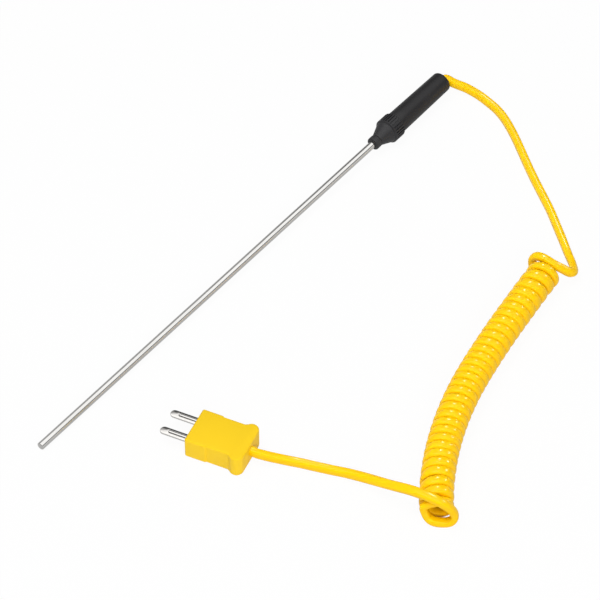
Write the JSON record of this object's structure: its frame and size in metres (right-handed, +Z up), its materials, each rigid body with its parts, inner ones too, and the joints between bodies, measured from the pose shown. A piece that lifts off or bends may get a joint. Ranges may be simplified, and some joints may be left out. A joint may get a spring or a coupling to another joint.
{
  "type": "thermocouple probe",
  "caption": "Hand-held thermocouple probe: thin steel sheath, small black handle with a ribbed nose cap, yellow curly cord and miniature flat-pin plug.",
  "frame": {"origin": "on the surface that the probe lies on, under the middle of the box around the sheath and the handle", "axes": "+X along the sheath from its tip towards the handle, +Z up from the surface, the cord and the plug lie on the -Y side"},
  "size_m": [0.226, 0.1324, 0.0129],
  "materials": {
    "stainless_sheath": "polished along its length",
    "white_ceramic": "matt pressed ceramic",
    "sealing_resin": "satin resin",
    "positive_alloy": "drawn wire",
    "negative_alloy": "drawn wire",
    "black_plastic": "satin moulded",
    "brass_fittings": "turned",
    "shrink_sleeve": "satin",
    "yellow_jacket": "glossy extruded jacket",
    "bright_nickel": "bright plated",
    "yellow_moulding": "satin moulded"
  },
  "bodies": {
    "root": {"sheath_tube": "stainless_sheath", "sheath_insulator": "white_ceramic", "sheath_seal": "sealing_resin", "hot_junction": "stainless_sheath", "positive_leg": "positive_alloy", "negative_leg": "negative_alloy", "nose_cap": "black_plastic", "handle_body": "black_plastic", "sheath_ferrule": "brass_fittings", "positive_splice": "brass_fittings", "negative_splice": "brass_fittings", "positive_sleeve": "shrink_sleeve", "negative_sleeve": "shrink_sleeve", "positive_lead": "positive_alloy", "negative_lead": "negative_alloy", "cord_inner_end": "yellow_jacket", "cord_clamp_ring": "bright_nickel", "upper_cord": "yellow_jacket", "cord_coil": "yellow_jacket", "lower_cord": "yellow_jacket", "plug_body": "yellow_moulding", "positive_pin": "bright_nickel", "negative_pin": "bright_nickel", "plug_cord_end": "yellow_jacket", "plug_clamp_ring": "bright_nickel", "plug_positive_wire": "positive_alloy", "plug_negative_wire": "negative_alloy"}
  },
  "joints": []
}
